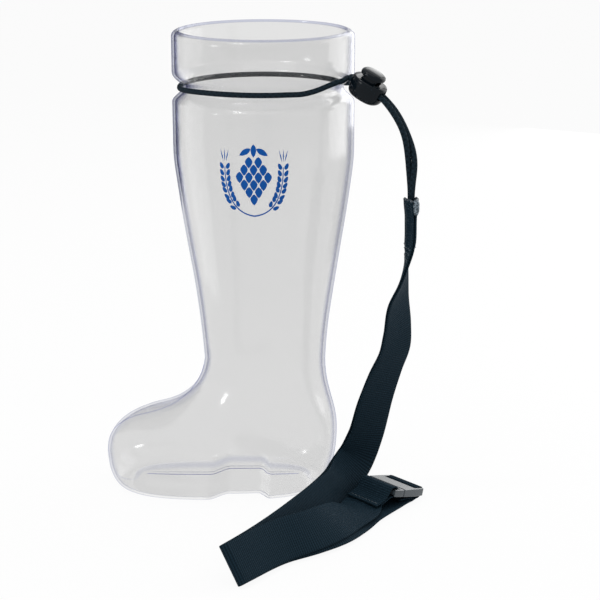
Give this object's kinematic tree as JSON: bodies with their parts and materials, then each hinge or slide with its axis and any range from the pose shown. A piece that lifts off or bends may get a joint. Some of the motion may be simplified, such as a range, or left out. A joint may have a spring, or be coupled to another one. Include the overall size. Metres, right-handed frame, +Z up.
{
  "type": "drinking_boot",
  "caption": "clear plastic boot-shaped drinking vessel, with a black neck cord, a spring cord lock and a webbing strap that parts at a clip",
  "frame": {"origin": "on the floor, under the middle of the boot's length and width", "axes": "+Z up; the toe points along -X and the heel along +X; the lanyard hangs on the +X side and lies out along -Y"},
  "size_m": [0.2007, 0.2162, 0.29],
  "materials": {
    "clear_plastic": "clear blow-moulded plastic, smooth and glossy, faintly blue-grey at its edges",
    "black_cord": "black braided polyester cord",
    "lock_plastic": "black moulded plastic, glossy",
    "spring_steel": "plain spring wire",
    "black_webbing": "black ribbed polyester webbing with sewn ends",
    "clip_plastic": "black moulded plastic, satin gloss"
  },
  "bodies": {
    "boot": {"boot_shell": "clear_plastic", "neck_cord": "black_cord", "strap_plug_side": "black_webbing", "strap_socket_side": "black_webbing", "clip_socket": "clip_plastic"},
    "lock": {"lock_body": "lock_plastic", "lock_spring": "spring_steel"},
    "plunger": {"lock_plunger": "lock_plastic"},
    "plug": {"clip_plug": "clip_plastic"}
  },
  "joints": [
    {"name": "lock_slide", "type": "hinge", "parent": "boot", "child": "lock", "pos_m": [0.0656, -0.0256, 0.21456], "axis": [0.515, 0.8572, 0], "range_deg": [0, 20]},
    {"name": "plunger_press", "type": "slide", "parent": "lock", "child": "plunger", "axis": [-0.3758, 0.2258, -0.8988], "range_m": [0, 0.002], "stiffness_N_per_m": 800, "springref_m": -0.002, "deforming": ["lock_spring"]},
    {"name": "clip_release", "type": "slide", "parent": "boot", "child": "plug", "axis": [-0.6725, -0.6964, 0.2504], "range_m": [0, 0.01], "deforming": ["strap_plug_side"]}
  ]
}
